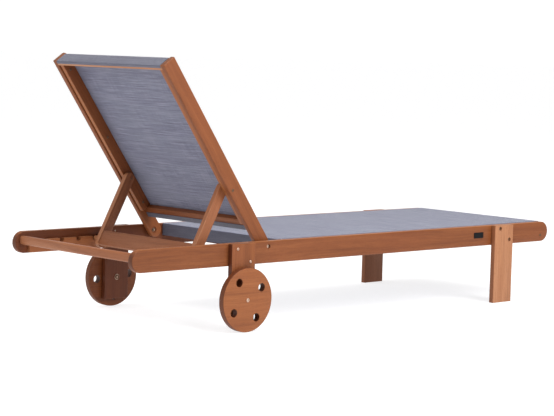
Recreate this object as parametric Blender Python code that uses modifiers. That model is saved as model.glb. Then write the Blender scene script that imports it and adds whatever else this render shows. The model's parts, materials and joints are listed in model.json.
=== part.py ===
"""Reclining sun lounger: a hardwood frame on two wheels and two feet, fabric slings,
and a backrest that a folding prop holds at one of five heights.

Metres, +Z up, ground at Z = 0. The head end is +Y and the foot end is -Y.
"left" is +X and "right" is -X, as for a person who lies on it face up.
"""

import math

import bmesh
import bpy
from mathutils import Vector

# Gaps
GAP = 0.0003                 # between pieces that touch
EDGE = 0.0015                # softening of the timber's edges

# Side rails
RAIL_LENGTH = 1.900
RAIL_HEIGHT = 0.0695
RAIL_THICK = 0.020
RAIL_OUTER = 0.306           # X of a rail's outer face
RAIL_TOP = 0.272
RAIL_INNER = RAIL_OUTER - RAIL_THICK
RAIL_MIDDLE = RAIL_TOP - RAIL_HEIGHT / 2

# Boards and bars between the rails
FOOT_RAIL_Y = -0.910
FOOT_RAIL_THICK = 0.020
FOOT_RAIL_HEIGHT = 0.064
SEAT_RAIL_REAR = 0.3534      # Y of the seat rear rail's rear face
SEAT_RAIL_THICK = 0.020
SEAT_RAIL_HEIGHT = 0.042
CROSS_TOP = 0.2714
HANDLE_Y = 0.923
HANDLE_Z = 0.2447
HANDLE_DEPTH = 0.021
HANDLE_HEIGHT = 0.028

# Legs
LEG_WIDTH = 0.0955
LEG_THICK = 0.018
FOOT_LEG_Y = -0.691
WHEEL_LEG_Y = 0.529
WHEEL_LEG_BOTTOM = 0.027
LEG_INNER = RAIL_OUTER + GAP
LEG_OUTER = LEG_INNER + LEG_THICK

# Wheels
WHEEL_RADIUS = 0.0995
WHEEL_THICK = 0.021
WHEEL_HOLE_RADIUS = 0.0131
WHEEL_HOLE_CIRCLE = 0.0665
WHEEL_HOLES = 4
WHEEL_TURN = {"left": -5.0, "right": 57.0}
WASHER_THICK = 0.0021
WHEEL_INNER = LEG_OUTER + WASHER_THICK + 2 * GAP
WHEEL_OUTER = WHEEL_INNER + WHEEL_THICK

# Racks
RACK_START = 0.575
RACK_END = 0.905
RACK_BOTTOM = 0.205
RACK_TOP = 0.2455
RACK_THICK = 0.014
RACK_OUTER = RAIL_INNER - GAP
NOTCH_WIDTH = 0.017
NOTCH_DEPTH = 0.0135
NOTCH_STEP = 0.066
REST_NOTCH = 0.6485
NOTCHES = (-1, 0, 1, 2, 3)

# Backrest: in its own frame Y runs up the stiles and Z out of the front face
BACK_ANGLE = 54.9
PIVOT_Y = 0.4104
PIVOT_Z = 0.2550
STILE_OUTER = 0.2788
STILE_DEPTH = 0.0473
STILE_FRONT = 0.0296
STILE_REAR = STILE_FRONT - STILE_DEPTH
STILE_BOTTOM = -0.0285
STILE_TOP = 0.6926
BOARD_THICK = 0.017
BOARD_INNER = STILE_OUTER - BOARD_THICK
BATTEN_OUTER = 0.2573
BATTEN_INNER = 0.2418
BATTEN_FRONT = STILE_FRONT - 0.0068
BATTEN_REAR = STILE_REAR + 0.0035
TONGUE_FRONT = STILE_FRONT - 0.0140
TONGUE_REAR = STILE_FRONT - 0.0360
TONGUE_START = 0.098
TOP_BAR_THICK = 0.0153
BOTTOM_BAR_START = 0.0535
BOTTOM_BAR_END = 0.0915
BOTTOM_BAR_THICK = 0.0175
BATTEN_START = BOTTOM_BAR_END + GAP
SCREW_PLACES = {"upper": 0.647, "middle": 0.381, "lower": 0.116}
SCREW_HEIGHT = STILE_FRONT - 0.027

# Prop: in its own frame Y runs down the legs and Z to the rear
PROP_AT = 0.220              # from the backrest's pivot, along the stile
PROP_HEIGHT = -0.0049
PROP_ANGLE = 62.1            # below the horizontal
PROP_OUTER = 0.2411
PROP_THICK = 0.018
PROP_WIDTH = 0.034
PROP_START = -0.017
PROP_END = 0.250
PROP_MIDDLE = 0.005
PROP_BOARD_START = 0.195
PROP_BOARD_END = 0.245
PROP_BOARD_THICK = 0.016
PROP_BOARD_RECESS = 0.002
PEG_RADIUS = 0.007
PEG_AT = 0.220
PEG_END = 0.2712

# Fabric
FABRIC_THICK = 0.0015
SEAT_SLING_HALF = 0.2855
SEAT_SLING_Z = 0.2719
SEAT_REAR_WRAP = 0.041
SEAT_FOOT_WRAP = 0.040
BACK_SLING_HALF = 0.2586
BACK_HEM_DEPTH = 0.0060
BACK_HEM_START = 0.106
BACK_HEM_END = 0.668
BACK_TOP_WRAP = 0.0085
BACK_BOTTOM_WRAP = 0.0190

# Fasteners
BOLT_RADIUS = 0.003
BOLT_HEAD_RADIUS = 0.0047
BOLT_HEAD_HEIGHT = 0.0020
PIVOT_HEAD_RADIUS = 0.0054
RECESS_RADIUS = 0.0066       # round recess that a sunk bolt head sits in
RECESS_DEPTH = 0.0050
AXLE_RADIUS = 0.004
AXLE_HEAD_RADIUS = 0.0062
AXLE_NUT_RADIUS = 0.0095
SCREW_RADIUS = 0.002
SCREW_HEAD_RADIUS = 0.0045
SCREW_HEAD_HEIGHT = 0.0012
NUT_RADIUS = 0.0058
NUT_HEIGHT = 0.0050
NUT_RECESS_RADIUS = 0.0100
NUT_RECESS_DEPTH = 0.0045

# Bolt places on a rail, as (y, z)
WHEEL_LEG_BOLTS = {"upper": (WHEEL_LEG_Y + 0.0247, 0.2562), "lower": (WHEEL_LEG_Y - 0.0280, 0.2146)}
FOOT_LEG_BOLTS = {"upper": (FOOT_LEG_Y + 0.0205, 0.2600), "lower": (FOOT_LEG_Y - 0.0286, 0.2203)}
FOOT_RAIL_BOLT = (FOOT_RAIL_Y, 0.2249)
PIVOT = (PIVOT_Y, PIVOT_Z)

# Badge plate
BADGE_LENGTH = 0.049
BADGE_HEIGHT = 0.020
BADGE_THICK = 0.001
BADGE_Y = -0.576
BADGE_Z = 0.240

SIDES = {"left": 1, "right": -1}
X_AXIS = Vector((1, 0, 0))


def clear_scene():
    for obj in list(bpy.data.objects):
        bpy.data.objects.remove(obj, do_unlink=True)


def new_collection(name):
    collection = bpy.data.collections.new(name)
    bpy.context.scene.collection.children.link(collection)
    return collection


clear_scene()
PARTS = new_collection("sun_lounger")
CUTTERS = new_collection("cutters")

FINISHES = {
    "timber": ((0.42, 0.17, 0.075, 1), 0.55, 0.0),
    "timber_light": ((0.50, 0.25, 0.13, 1), 0.60, 0.0),
    "fabric": ((0.19, 0.21, 0.29, 1), 0.75, 0.0),
    "steel": ((0.55, 0.53, 0.50, 1), 0.35, 1.0),
    "plate": ((0.02, 0.02, 0.02, 1), 0.45, 0.0),
}


def material_for(name, finish):
    colour, roughness, metallic = FINISHES[finish]
    material = bpy.data.materials.new(name)
    material.use_nodes = True
    shader = material.node_tree.nodes["Principled BSDF"]
    shader.inputs["Base Color"].default_value = colour
    shader.inputs["Roughness"].default_value = roughness
    shader.inputs["Metallic"].default_value = metallic
    return material


def empty(name, place, turn, parent=None):
    """An empty on a joint's axis, turned about X by the angle given in degrees."""
    obj = bpy.data.objects.new(name, None)
    obj.location = place
    obj.rotation_euler = (math.radians(turn), 0, 0)
    obj.parent = parent
    PARTS.objects.link(obj)
    return obj


def add(name, bm, place, finish, parent=None, smooth=False):
    """Turn a bmesh into a named object of the lounger."""
    mesh = bpy.data.meshes.new(name)
    bm.to_mesh(mesh)
    bm.free()
    obj = bpy.data.objects.new(name, mesh)
    obj.location = place
    obj.parent = parent
    PARTS.objects.link(obj)
    mesh.materials.append(material_for(name, finish))
    if smooth:
        mesh.shade_smooth()
        mesh.set_sharp_from_angle(angle=math.radians(35))
    return obj


def soften(obj, width=EDGE, segments=1):
    bevel = obj.modifiers.new("edges", "BEVEL")
    bevel.width = width
    bevel.segments = segments
    bevel.limit_method = "ANGLE"
    bevel.angle_limit = math.radians(40)


def box_mesh(size):
    bm = bmesh.new()
    bmesh.ops.create_cube(bm, size=1.0)
    bmesh.ops.scale(bm, vec=size, verts=bm.verts)
    return bm


def round_corners(bm, radius, chosen, segments=8):
    """Round the edges along X whose (y, z) place is chosen."""
    edges = []
    for edge in bm.edges:
        first, second = (vert.co for vert in edge.verts)
        runs_along_x = abs((second - first).normalized().dot(X_AXIS)) > 0.99
        if runs_along_x and chosen(first.y, first.z):
            edges.append(edge)
    bmesh.ops.bevel(bm, geom=edges, offset=radius, segments=segments, profile=0.5, affect="EDGES")


def board(name, size, place, finish="timber", parent=None, edge=EDGE, radius=0, chosen=None):
    """A box with softened edges, and with round corners where chosen says so."""
    bm = box_mesh(size)
    if radius:
        round_corners(bm, radius, chosen)
    obj = add(name, bm, place, finish, parent)
    if edge:
        soften(obj, edge)
    return obj


def between(low, high):
    """The middle and the length of a span."""
    return (low + high) / 2, high - low


def along_x(bm):
    """Turn a mesh made along Z so that it lies along X, with its +Z end at +X."""
    turn = Vector((0, 0, 1)).rotation_difference(X_AXIS).to_matrix()
    bmesh.ops.rotate(bm, cent=(0, 0, 0), matrix=turn, verts=bm.verts)


def round_bar(radius, start, end, segments=12):
    """A cylinder along X from start to end."""
    bm = bmesh.new()
    middle, length = between(min(start, end), max(start, end))
    bmesh.ops.create_cone(
        bm, cap_ends=True, segments=segments, radius1=radius, radius2=radius, depth=length
    )
    along_x(bm)
    bmesh.ops.translate(bm, vec=(middle, 0, 0), verts=bm.verts)
    return bm


def turned(name, profile, place, finish, side=1, parent=None, segments=12):
    """A piece turned about X: profile is (distance along X, radius), from its outer end in."""
    bm = bmesh.new()
    line = [bm.verts.new((side * x, 0, radius)) for x, radius in profile]
    for first, second in zip(line, line[1:]):
        bm.edges.new((first, second))
    bmesh.ops.spin(
        bm,
        geom=bm.verts[:] + bm.edges[:],
        cent=(0, 0, 0),
        axis=X_AXIS,
        angle=2 * math.pi,
        steps=segments,
    )
    bmesh.ops.remove_doubles(bm, verts=bm.verts, dist=1e-6)
    bmesh.ops.recalc_face_normals(bm, faces=bm.faces)
    return add(name, bm, place, finish, parent, smooth=True)


def bolt_profile(face, tip, radius=BOLT_RADIUS, head=BOLT_HEAD_RADIUS, height=BOLT_HEAD_HEIGHT):
    """A domed head that stands on the face, and a shank that runs inward to the tip."""
    head_face = face + GAP
    return [
        (head_face + height, 0),
        (head_face + height, head * 0.60),
        (head_face + height * 0.40, head),
        (head_face, head),
        (head_face, radius),
        (tip, radius),
        (tip, 0),
    ]


def nut_profile(face, bore=BOLT_RADIUS, radius=NUT_RADIUS, height=NUT_HEIGHT):
    """A round nut that stands inward of the face, around its bolt."""
    top = face - GAP
    return [
        (top, bore + GAP),
        (top, radius),
        (top - height * 0.75, radius),
        (top - height, radius * 0.80),
        (top - height, bore + GAP),
        (top, bore + GAP),
    ]


def ring_profile(start, end, bore, radius):
    return [(start, bore), (start, radius), (end, radius), (end, bore), (start, bore)]


def cut(target, shapes, name):
    """Cut the shapes, each a (bmesh, place), out of the target with one cutter."""
    whole = bmesh.new()
    for bm, place in shapes:
        bmesh.ops.translate(bm, vec=place, verts=bm.verts)
        piece = bpy.data.meshes.new("piece")
        bm.to_mesh(piece)
        bm.free()
        whole.from_mesh(piece)
        bpy.data.meshes.remove(piece)
    mesh = bpy.data.meshes.new(name)
    whole.to_mesh(mesh)
    whole.free()
    cutter = bpy.data.objects.new(name, mesh)
    cutter.parent = target.parent
    cutter.hide_render = True
    cutter.display_type = "WIRE"
    CUTTERS.objects.link(cutter)
    boolean = target.modifiers.new("cut", "BOOLEAN")
    boolean.operation = "DIFFERENCE"
    boolean.solver = "EXACT"
    boolean.object = cutter


def bores(target, side, places, start, end, radius=BOLT_RADIUS, name="bores", segments=12):
    """Round bores along X at each (y, z), from |X| start to |X| end."""
    shapes = []
    for y, z in places:
        shapes.append((round_bar(radius + GAP, side * start, side * end, segments), (0, y, z)))
    cut(target, shapes, f"cut_{name}_{target.name}")


def strap(name, half_width, outline, place, finish="fabric", parent=None, hem=None):
    """A sheet that follows an outline in Y and Z across 2 * half_width, given thickness.

    hem is (first point, last point, depth): between those two points the sheet's edges turn
    back by the depth.
    """
    bm = bmesh.new()
    verts = [bm.verts.new((-half_width, y, z)) for y, z in outline]
    edges = [bm.edges.new(pair) for pair in zip(verts, verts[1:])]
    wide = bmesh.ops.extrude_edge_only(bm, edges=edges)
    new_verts = [item for item in wide["geom"] if isinstance(item, bmesh.types.BMVert)]
    bmesh.ops.translate(bm, vec=(2 * half_width, 0, 0), verts=new_verts)
    if hem:
        first, last, depth = hem
        low, high = outline[first], outline[last]
        for side in SIDES.values():
            edge = find_edge(bm, side * half_width, low, high)
            grown = bmesh.ops.extrude_edge_only(bm, edges=[edge])
            moved = [item for item in grown["geom"] if isinstance(item, bmesh.types.BMVert)]
            bmesh.ops.translate(bm, vec=(0, 0, -depth), verts=moved)
    bmesh.ops.recalc_face_normals(bm, faces=bm.faces)
    obj = add(name, bm, place, finish, parent)
    solid = obj.modifiers.new("thickness", "SOLIDIFY")
    solid.thickness = FABRIC_THICK
    solid.offset = 0
    solid.use_even_offset = True
    return obj


def find_edge(bm, x, low, high):
    """The edge at this x whose ends are the two (y, z) points."""
    for edge in bm.edges:
        ends = sorted((round(v.co.y, 6), round(v.co.z, 6)) for v in edge.verts)
        wanted = sorted((round(y, 6), round(z, 6)) for y, z in (low, high))
        if ends == wanted and all(abs(v.co.x - x) < 1e-6 for v in edge.verts):
            return edge
    raise ValueError("no such edge")


def build_side(side_name, side):
    """The pieces of the standing frame on one side."""
    rail = board(
        f"side_rail_{side_name}",
        (RAIL_THICK, RAIL_LENGTH, RAIL_HEIGHT),
        (side * (RAIL_OUTER - RAIL_THICK / 2), 0, RAIL_MIDDLE),
        radius=RAIL_HEIGHT * 0.499,
        chosen=lambda y, z: True,
    )
    rail_bolts = [*WHEEL_LEG_BOLTS.values(), *FOOT_LEG_BOLTS.values(), FOOT_RAIL_BOLT, PIVOT]
    bores(rail, side, rail_bolts, RAIL_INNER - 0.01, RAIL_OUTER + 0.01)
    bores(
        rail, side, [PIVOT], RAIL_OUTER - RECESS_DEPTH, RAIL_OUTER + 0.01,
        radius=RECESS_RADIUS, name="recess", segments=20,
    )

    rack_y, rack_length = between(RACK_START, RACK_END)
    rack_z, rack_height = between(RACK_BOTTOM, RACK_TOP)
    rack_x = side * (RACK_OUTER - RACK_THICK / 2)
    rack = board(
        f"rack_{side_name}",
        (RACK_THICK, rack_length, rack_height),
        (rack_x, rack_y, rack_z),
        edge=0.001,
    )
    notch_height = 0.030
    notch_middle = RACK_TOP - NOTCH_DEPTH + notch_height / 2
    shapes = []
    for number in NOTCHES:
        notch = box_mesh((RACK_THICK + 0.01, NOTCH_WIDTH, notch_height))
        round_corners(notch, NOTCH_WIDTH * 0.45, lambda y, z: z < 0, segments=5)
        shapes.append((notch, (rack_x, REST_NOTCH + number * NOTCH_STEP, notch_middle)))
    cut(rack, shapes, f"cut_notches_{side_name}")

    leg_x = side * (LEG_INNER + LEG_THICK / 2)
    legs = (
        ("wheel_leg", WHEEL_LEG_Y, WHEEL_LEG_BOTTOM, WHEEL_LEG_BOLTS),
        ("foot_leg", FOOT_LEG_Y, 0.0, FOOT_LEG_BOLTS),
    )
    for leg_name, leg_y, bottom, bolts in legs:
        leg_z, leg_height = between(bottom, RAIL_TOP)
        leg = board(
            f"{leg_name}_{side_name}",
            (LEG_THICK, LEG_WIDTH, leg_height),
            (leg_x, leg_y, leg_z),
        )
        bores(leg, side, bolts.values(), LEG_INNER - 0.01, LEG_OUTER + 0.01)
        if leg_name == "wheel_leg":
            bores(
                leg, side, [(WHEEL_LEG_Y, WHEEL_RADIUS)], LEG_INNER - 0.01, LEG_OUTER + 0.01,
                radius=AXLE_RADIUS, name="axle",
            )
        face = LEG_OUTER
        if leg_name == "foot_leg":
            face -= RECESS_DEPTH
            bores(
                leg, side, bolts.values(), face, LEG_OUTER + 0.01,
                radius=RECESS_RADIUS, name="recess", segments=20,
            )
        for bolt_name, (y, z) in bolts.items():
            turned(
                f"{leg_name}_bolt_{bolt_name}_{side_name}",
                bolt_profile(face, RAIL_INNER + 0.002),
                (0, y, z),
                "steel",
                side,
            )

    turned(
        f"foot_rail_bolt_{side_name}",
        bolt_profile(RAIL_OUTER, RAIL_INNER - 0.035),
        (0, *FOOT_RAIL_BOLT),
        "steel",
        side,
    )
    turned(
        f"back_pivot_bolt_{side_name}",
        bolt_profile(RAIL_OUTER - RECESS_DEPTH, BOARD_INNER - 0.0014, head=PIVOT_HEAD_RADIUS),
        (0, *PIVOT),
        "steel",
        side,
    )
    turned(
        f"back_pivot_spacer_{side_name}",
        ring_profile(RAIL_INNER - GAP, STILE_OUTER + GAP, BOLT_RADIUS + GAP, 0.010),
        (0, *PIVOT),
        "steel",
        side,
    )
    turned(
        f"back_pivot_nut_{side_name}",
        nut_profile(BOARD_INNER + NUT_RECESS_DEPTH),
        (0, *PIVOT),
        "steel",
        side,
    )
    axle = (0, WHEEL_LEG_Y, WHEEL_RADIUS)
    turned(
        f"axle_bolt_{side_name}",
        bolt_profile(WHEEL_OUTER, LEG_INNER - 0.0025, radius=AXLE_RADIUS, head=AXLE_HEAD_RADIUS),
        axle,
        "steel",
        side,
    )
    turned(
        f"axle_washer_{side_name}",
        ring_profile(WHEEL_INNER - GAP, LEG_OUTER + GAP, AXLE_RADIUS + GAP, 0.012),
        axle,
        "steel",
        side,
    )
    turned(
        f"axle_nut_{side_name}",
        nut_profile(LEG_INNER, bore=AXLE_RADIUS, radius=AXLE_NUT_RADIUS),
        axle,
        "steel",
        side,
    )


def build_cross_pieces():
    """The boards, the bar and the sling between the two side rails."""
    width = 2 * (RAIL_INNER - GAP)
    foot_rail = board(
        "foot_cross_rail",
        (width, FOOT_RAIL_THICK, FOOT_RAIL_HEIGHT),
        (0, FOOT_RAIL_Y, CROSS_TOP - FOOT_RAIL_HEIGHT / 2),
    )
    for side in SIDES.values():
        bores(foot_rail, side, [FOOT_RAIL_BOLT], RAIL_INNER - 0.036, RAIL_INNER + 0.01)
    board(
        "seat_rear_rail",
        (width, SEAT_RAIL_THICK, SEAT_RAIL_HEIGHT),
        (0, SEAT_RAIL_REAR - SEAT_RAIL_THICK / 2, CROSS_TOP - SEAT_RAIL_HEIGHT / 2),
    )
    board(
        "handle_bar",
        (width, HANDLE_DEPTH, HANDLE_HEIGHT),
        (0, HANDLE_Y, HANDLE_Z),
        radius=0.007,
        chosen=lambda y, z: True,
        edge=0,
    )
    half = FABRIC_THICK / 2
    front = FOOT_RAIL_Y - FOOT_RAIL_THICK / 2 - GAP - half
    rear = SEAT_RAIL_REAR + GAP + half
    top = SEAT_SLING_Z + half
    strap(
        "seat_sling",
        SEAT_SLING_HALF,
        [(front, top - SEAT_FOOT_WRAP), (front, top), (rear, top), (rear, top - SEAT_REAR_WRAP)],
        (0, 0, 0),
    )
    board(
        "badge_plate",
        (BADGE_THICK, BADGE_LENGTH, BADGE_HEIGHT),
        (-(RAIL_OUTER + GAP + BADGE_THICK / 2), BADGE_Y, BADGE_Z),
        finish="plate",
        edge=0,
        radius=0.002,
        chosen=lambda y, z: True,
    )


def build_wheel(side_name, side):
    """A plain timber disc with a ring of round holes."""
    bm = round_bar(WHEEL_RADIUS, -WHEEL_THICK / 2, WHEEL_THICK / 2, segments=56)
    place = (side * (WHEEL_INNER + WHEEL_THICK / 2), WHEEL_LEG_Y, WHEEL_RADIUS)
    wheel = add(f"wheel_{side_name}", bm, place, "timber", smooth=True)
    soften(wheel, 0.0025, segments=2)
    places = [(WHEEL_LEG_Y, WHEEL_RADIUS)]
    bores(wheel, side, places, WHEEL_INNER - 0.01, WHEEL_OUTER + 0.01, radius=AXLE_RADIUS, name="hub")
    places = []
    for number in range(WHEEL_HOLES):
        angle = math.radians(WHEEL_TURN[side_name] + 360 / WHEEL_HOLES * number)
        y = WHEEL_LEG_Y + WHEEL_HOLE_CIRCLE * math.cos(angle)
        z = WHEEL_RADIUS + WHEEL_HOLE_CIRCLE * math.sin(angle)
        places.append((y, z))
    bores(
        wheel, side, places, WHEEL_INNER - 0.01, WHEEL_OUTER + 0.01,
        radius=WHEEL_HOLE_RADIUS, name="ring",
    )


def build_stile(side_name, side, back):
    """One stile of the backrest: an outer board, and a batten that clamps the sling's hem."""
    stile_y, stile_length = between(STILE_BOTTOM, STILE_TOP)
    stile_z = STILE_FRONT - STILE_DEPTH / 2
    outer = board(
        f"back_outer_board_{side_name}",
        (BOARD_THICK, stile_length, STILE_DEPTH),
        (side * (STILE_OUTER - BOARD_THICK / 2), stile_y, stile_z),
        parent=back,
        radius=0.0225,
        chosen=lambda y, z: y < 0,
    )
    batten_top = STILE_TOP - FABRIC_THICK - TOP_BAR_THICK - 4 * GAP
    batten_y, batten_length = between(BATTEN_START, batten_top)
    batten_z, batten_depth = between(BATTEN_REAR, BATTEN_FRONT)
    batten_x, batten_thick = between(BATTEN_INNER, BATTEN_OUTER)
    batten = board(
        f"back_inner_batten_{side_name}",
        (batten_thick, batten_length, batten_depth),
        (side * batten_x, batten_y, batten_z),
        parent=back,
    )
    tongue_x, tongue_thick = between(BATTEN_OUTER - 0.002, BOARD_INNER - GAP)
    tongue_y, tongue_length = between(TONGUE_START, batten_top - 0.004)
    tongue_z, tongue_depth = between(TONGUE_REAR, TONGUE_FRONT)
    tongue = bpy.data.objects.new(f"tongue_{side_name}", bpy.data.meshes.new("tongue"))
    bm = box_mesh((tongue_thick, tongue_length, tongue_depth))
    bm.to_mesh(tongue.data)
    bm.free()
    tongue.location = (side * tongue_x, tongue_y, tongue_z)
    tongue.parent = back
    tongue.hide_render = True
    tongue.display_type = "WIRE"
    CUTTERS.objects.link(tongue)
    union = batten.modifiers.new("tongue", "BOOLEAN")
    union.operation = "UNION"
    union.solver = "EXACT"
    union.object = tongue

    screws = [(along, SCREW_HEIGHT) for along in SCREW_PLACES.values()]
    bores(
        outer, side, [(0, 0)], BOARD_INNER - 0.01, BOARD_INNER + NUT_RECESS_DEPTH,
        radius=NUT_RECESS_RADIUS, name="recess", segments=20,
    )
    bores(outer, side, [(0, 0), (PROP_AT, PROP_HEIGHT)], BATTEN_INNER - 0.01, STILE_OUTER + 0.01)
    bores(batten, side, [(PROP_AT, PROP_HEIGHT)], BATTEN_INNER - 0.01, STILE_OUTER + 0.01)
    bores(
        outer, side, screws, BOARD_INNER - 0.01, BOARD_INNER + 0.0115,
        radius=SCREW_RADIUS, name="screws",
    )
    bores(
        batten, side, screws, BATTEN_INNER - 0.01, BATTEN_OUTER + 0.01,
        radius=SCREW_RADIUS, name="screws",
    )
    for screw_name, along in SCREW_PLACES.items():
        profile = bolt_profile(
            -BATTEN_INNER, -BOARD_INNER - 0.010, SCREW_RADIUS, SCREW_HEAD_RADIUS, SCREW_HEAD_HEIGHT
        )
        turned(
            f"batten_screw_{screw_name}_{side_name}",
            profile,
            (0, along, SCREW_HEIGHT),
            "steel",
            side,
            back,
        )
    turned(
        f"prop_bolt_{side_name}",
        bolt_profile(STILE_OUTER, PROP_OUTER - PROP_THICK - 0.003),
        (0, PROP_AT, PROP_HEIGHT),
        "steel",
        side,
        back,
    )


def build_backrest(back):
    for side_name, side in SIDES.items():
        build_stile(side_name, side, back)

    bar_end = STILE_TOP - FABRIC_THICK - GAP
    bar_y, bar_width = between(bar_end - TOP_BAR_THICK, bar_end)
    bar_front = STILE_FRONT - 0.0068
    bar_z, bar_depth = between(STILE_REAR, bar_front)
    board(
        "back_top_bar",
        (2 * (BOARD_INNER - GAP), bar_width, bar_depth),
        (0, bar_y, bar_z),
        finish="timber_light",
        parent=back,
        edge=0.001,
    )
    low_y, low_width = between(BOTTOM_BAR_START, BOTTOM_BAR_END)
    low_z = bar_front - BOTTOM_BAR_THICK / 2
    board(
        "back_bottom_bar",
        (2 * (BOARD_INNER - GAP), low_width, BOTTOM_BAR_THICK),
        (0, low_y, low_z),
        parent=back,
    )

    half = FABRIC_THICK / 2
    front = bar_front + GAP + half
    top = bar_end + GAP + half
    top_rear = STILE_REAR - GAP - half
    bottom = BOTTOM_BAR_START - GAP - half
    bottom_rear = bar_front - BOTTOM_BAR_THICK - GAP - half
    outline = [
        (top - BACK_TOP_WRAP, top_rear),
        (top, top_rear),
        (top, front),
        (BACK_HEM_END, front),
        (BACK_HEM_START, front),
        (bottom, front),
        (bottom, bottom_rear),
        (bottom + BACK_BOTTOM_WRAP, bottom_rear),
    ]
    hem = (3, 4, BACK_HEM_DEPTH)
    strap("back_sling", BACK_SLING_HALF, outline, (0, 0, 0), parent=back, hem=hem)


def build_prop(prop):
    leg_y, leg_length = between(PROP_START, PROP_END)
    rear = PROP_MIDDLE + PROP_WIDTH / 2
    for side_name, side in SIDES.items():
        leg = board(
            f"prop_leg_{side_name}",
            (PROP_THICK, leg_length, PROP_WIDTH),
            (side * (PROP_OUTER - PROP_THICK / 2), leg_y, PROP_MIDDLE),
            parent=prop,
            radius=PROP_WIDTH * 0.49,
            chosen=lambda y, z: True,
        )
        bores(leg, side, [(0, 0)], PROP_OUTER - PROP_THICK - 0.01, PROP_OUTER + 0.01)
        bores(
            leg, side, [(PEG_AT, PROP_MIDDLE)], PROP_OUTER - 0.012, PROP_OUTER + 0.01,
            radius=PEG_RADIUS, name="peg",
        )
        start = PROP_OUTER - 0.012 + GAP
        turned(
            f"prop_peg_{side_name}",
            [(PEG_END, 0), (PEG_END, 0.0060), (PEG_END - 0.001, PEG_RADIUS),
             (start, PEG_RADIUS), (start, 0)],
            (0, PEG_AT, PROP_MIDDLE),
            "timber_light",
            side,
            prop,
        )
    board_y, board_width = between(PROP_BOARD_START, PROP_BOARD_END)
    board(
        "prop_board",
        (2 * (PROP_OUTER - PROP_THICK - GAP), board_width, PROP_BOARD_THICK),
        (0, board_y, rear - PROP_BOARD_RECESS - PROP_BOARD_THICK / 2),
        parent=prop,
    )


for name, sign in SIDES.items():
    build_side(name, sign)
    build_wheel(name, sign)
build_cross_pieces()
back_pivot = empty("backrest_pivot", (0, PIVOT_Y, PIVOT_Z), BACK_ANGLE)
build_backrest(back_pivot)
prop_pivot = empty("prop_pivot", (0, PROP_AT, PROP_HEIGHT), -(BACK_ANGLE + PROP_ANGLE), back_pivot)
build_prop(prop_pivot)
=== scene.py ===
"""Looks for the reclining sun lounger: oiled hardwood, woven slings and plated fasteners.

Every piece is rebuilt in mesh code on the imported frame, in metres, in the frame's own axes:
+Y is the head end, +X the left of a person who lies on it face up, and +Z is up.
"""

import json
import math
import random

import bmesh
import bpy
import numpy as np
from mathutils import Matrix, Vector


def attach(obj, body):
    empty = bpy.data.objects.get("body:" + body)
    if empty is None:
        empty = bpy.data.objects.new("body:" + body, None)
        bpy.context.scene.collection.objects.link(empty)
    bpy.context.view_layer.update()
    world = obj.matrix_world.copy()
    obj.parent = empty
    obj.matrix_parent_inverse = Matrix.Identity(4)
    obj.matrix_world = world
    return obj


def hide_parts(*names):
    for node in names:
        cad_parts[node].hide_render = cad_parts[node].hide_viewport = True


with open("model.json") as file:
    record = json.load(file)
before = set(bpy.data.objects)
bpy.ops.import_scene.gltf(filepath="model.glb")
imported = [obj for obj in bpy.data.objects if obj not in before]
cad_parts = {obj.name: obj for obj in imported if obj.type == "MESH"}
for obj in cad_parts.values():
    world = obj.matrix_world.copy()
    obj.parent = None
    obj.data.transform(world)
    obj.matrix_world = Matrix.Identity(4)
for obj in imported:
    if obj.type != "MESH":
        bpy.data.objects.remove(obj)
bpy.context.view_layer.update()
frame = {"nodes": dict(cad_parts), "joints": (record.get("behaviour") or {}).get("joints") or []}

SIDES = {"left": 1, "right": -1}
BACK_ANGLE = math.radians(54.9)      # the backrest's length above level
PROP_ANGLE = math.radians(-62.1)     # the prop's length below level
GAP = 0.0003                         # between neighbouring pieces
RNG = random.Random(7)

# Softened edges
EDGE = 0.0016
RAIL_EDGE = 0.0026
STILE_EDGE = 0.0025
WHEEL_EDGE = 0.0025
FINE_EDGE = 0.0009
THIN_EDGE = 0.0003
SHARP_ANGLE = math.radians(40)       # edges sharper than this are softened
SMOOTH_ANGLE = math.radians(50)      # faces are shaded smooth across less than this
METAL_SMOOTH_ANGLE = math.radians(28)
END_FACING = 0.8                     # a face's normal along an axis, for it to look that way

# Round corners about X: the first three are shares of the board's height
RAIL_ROUND = 0.499
STILE_ROUND = 0.476
PROP_ROUND = 0.49
HANDLE_CORNER = 0.0085
PLATE_CORNER = 0.002

# Racks
REST_NOTCH = 0.6485                  # Y of the notch that holds the peg
NOTCH_STEP = 0.066
NOTCH_WIDTH = 0.017
NOTCH_DEPTH = 0.0135
NOTCH_ROUND = 0.45                   # share of the notch's width
NOTCH_NUMBERS = range(-1, 4)

# Wheels
WHEEL_TURN = {"left": -5.0, "right": 57.0}
WHEEL_HOLE_CIRCLE = 0.0665
WHEEL_HOLE_RADIUS = 0.0131

# Batten: its tongue goes on from the flat outer face to the outer board
BATTEN_OUTER = 0.2573
TONGUE_LAP = 0.002
TONGUE_START = 0.098
TONGUE_END_GAP = 0.004
TONGUE_FRONT = 0.0156
TONGUE_REAR = -0.0064

# Bores and fasteners
PAST = 0.01                          # how far a cutter stands past the piece
BORE_RADIUS = 0.0033
AXLE_BORE_RADIUS = 0.0043
SCREW_BORE_RADIUS = 0.0023
PEG_BORE_RADIUS = 0.0073
SOCKET_DEPTH = 0.036                 # of the foot rail's bolts
RECESS_RADIUS = 0.0069
RECESS_DEPTH = 0.0050
NUT_RECESS_RADIUS = 0.0103
NUT_RECESS_DEPTH = 0.0045
RAIL_SPAN = (0.20, 0.40)             # across the frame, for bores through the rails and legs
STILE_SPAN = (0.20, 0.32)
PROP_SPAN = (0.20, 0.26)
BOLT_SHANK = 0.003
AXLE_SHANK = 0.004
SCREW_SHANK = 0.002
HEAD_HEIGHT = 0.0020
LOW_HEAD_HEIGHT = 0.0018
SCREW_HEAD_HEIGHT = 0.0012
NUT_WASHER = 1.15                    # the nut's washer, in radii of the nut
NUT_WASHER_THICK = 0.0010
NUT_CORE = 0.97                      # within this share of its radius a nut is dark steel: painted shade in its middle
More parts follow.
